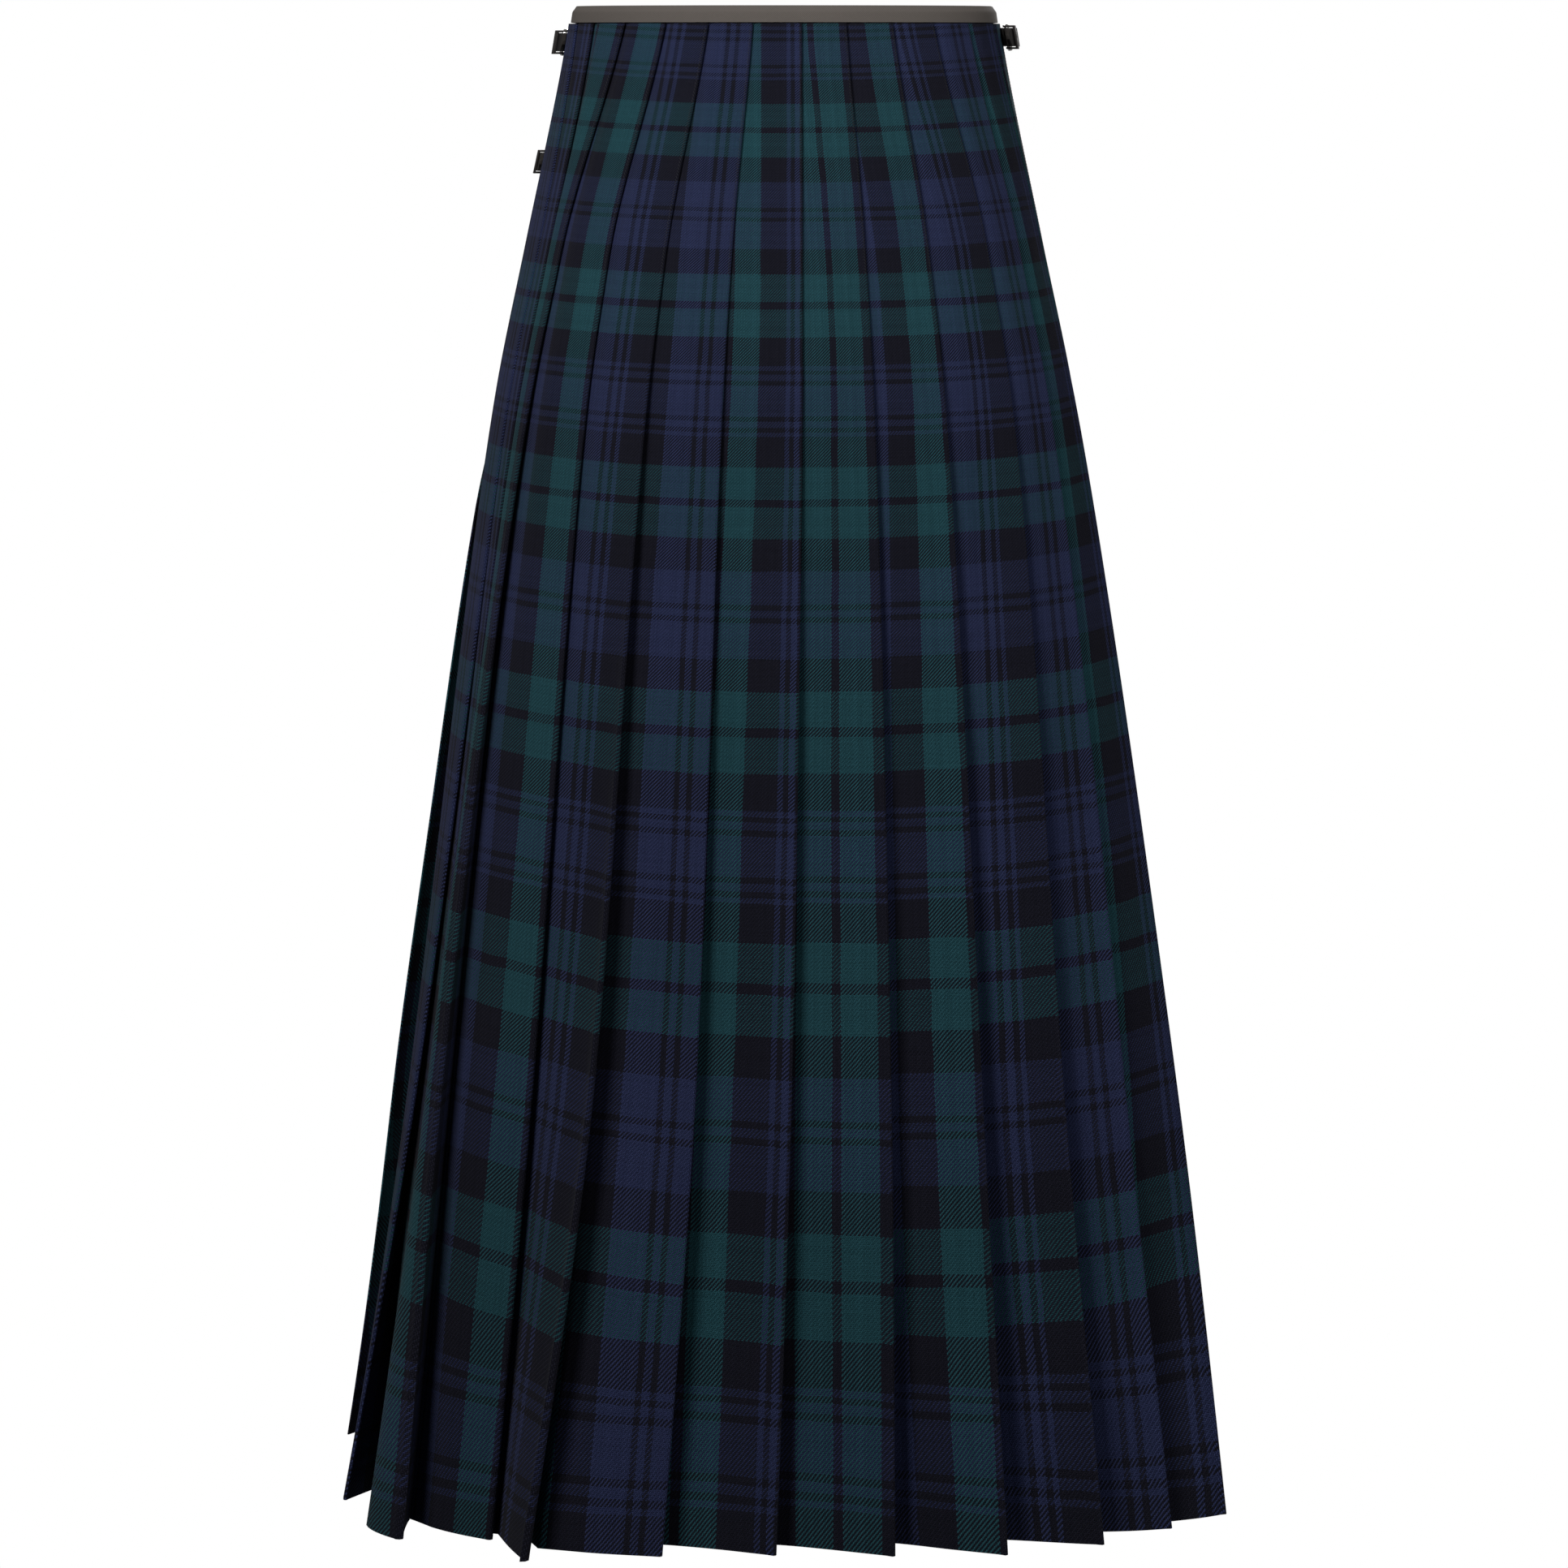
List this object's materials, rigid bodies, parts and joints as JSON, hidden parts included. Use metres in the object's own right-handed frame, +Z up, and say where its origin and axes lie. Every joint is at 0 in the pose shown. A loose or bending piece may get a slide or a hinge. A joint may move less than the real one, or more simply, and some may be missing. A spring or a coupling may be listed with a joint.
{
  "type": "kilt skirt",
  "caption": "Long kilted skirt in a dark green, blue and black tartan, filled out as worn, with a knife-pleated back, flat wrap aprons and leather strap fastenings.",
  "frame": {"origin": "centre of the waist, level with the waist straps, where the wearer holds the skirt up", "axes": "+Z up, -Y towards the pleated back, +X towards the wearer's right"},
  "size_m": [0.5559, 0.2994, 0.925],
  "materials": {
    "tartan": "twill wool, matte",
    "tape": "cotton twill, matte",
    "leather": "smooth, half gloss",
    "buckle": "polished"
  },
  "bodies": {
    "root": {"pleated_back": "tartan", "outer_apron": "tartan", "under_apron": "tartan", "waistband": "tape", "waist_strap_left": "leather", "waist_strap_left_tab": "leather", "waist_strap_left_keeper": "leather", "waist_strap_left_buckle": "buckle", "waist_strap_left_prong": "buckle", "waist_strap_right": "leather", "waist_strap_right_tab": "leather", "waist_strap_right_keeper": "leather", "waist_strap_right_buckle": "buckle", "waist_strap_right_prong": "buckle", "hip_strap_left": "leather", "hip_strap_left_tab": "leather", "hip_strap_left_keeper": "leather", "hip_strap_left_buckle": "buckle", "hip_strap_left_prong": "buckle"}
  },
  "joints": []
}
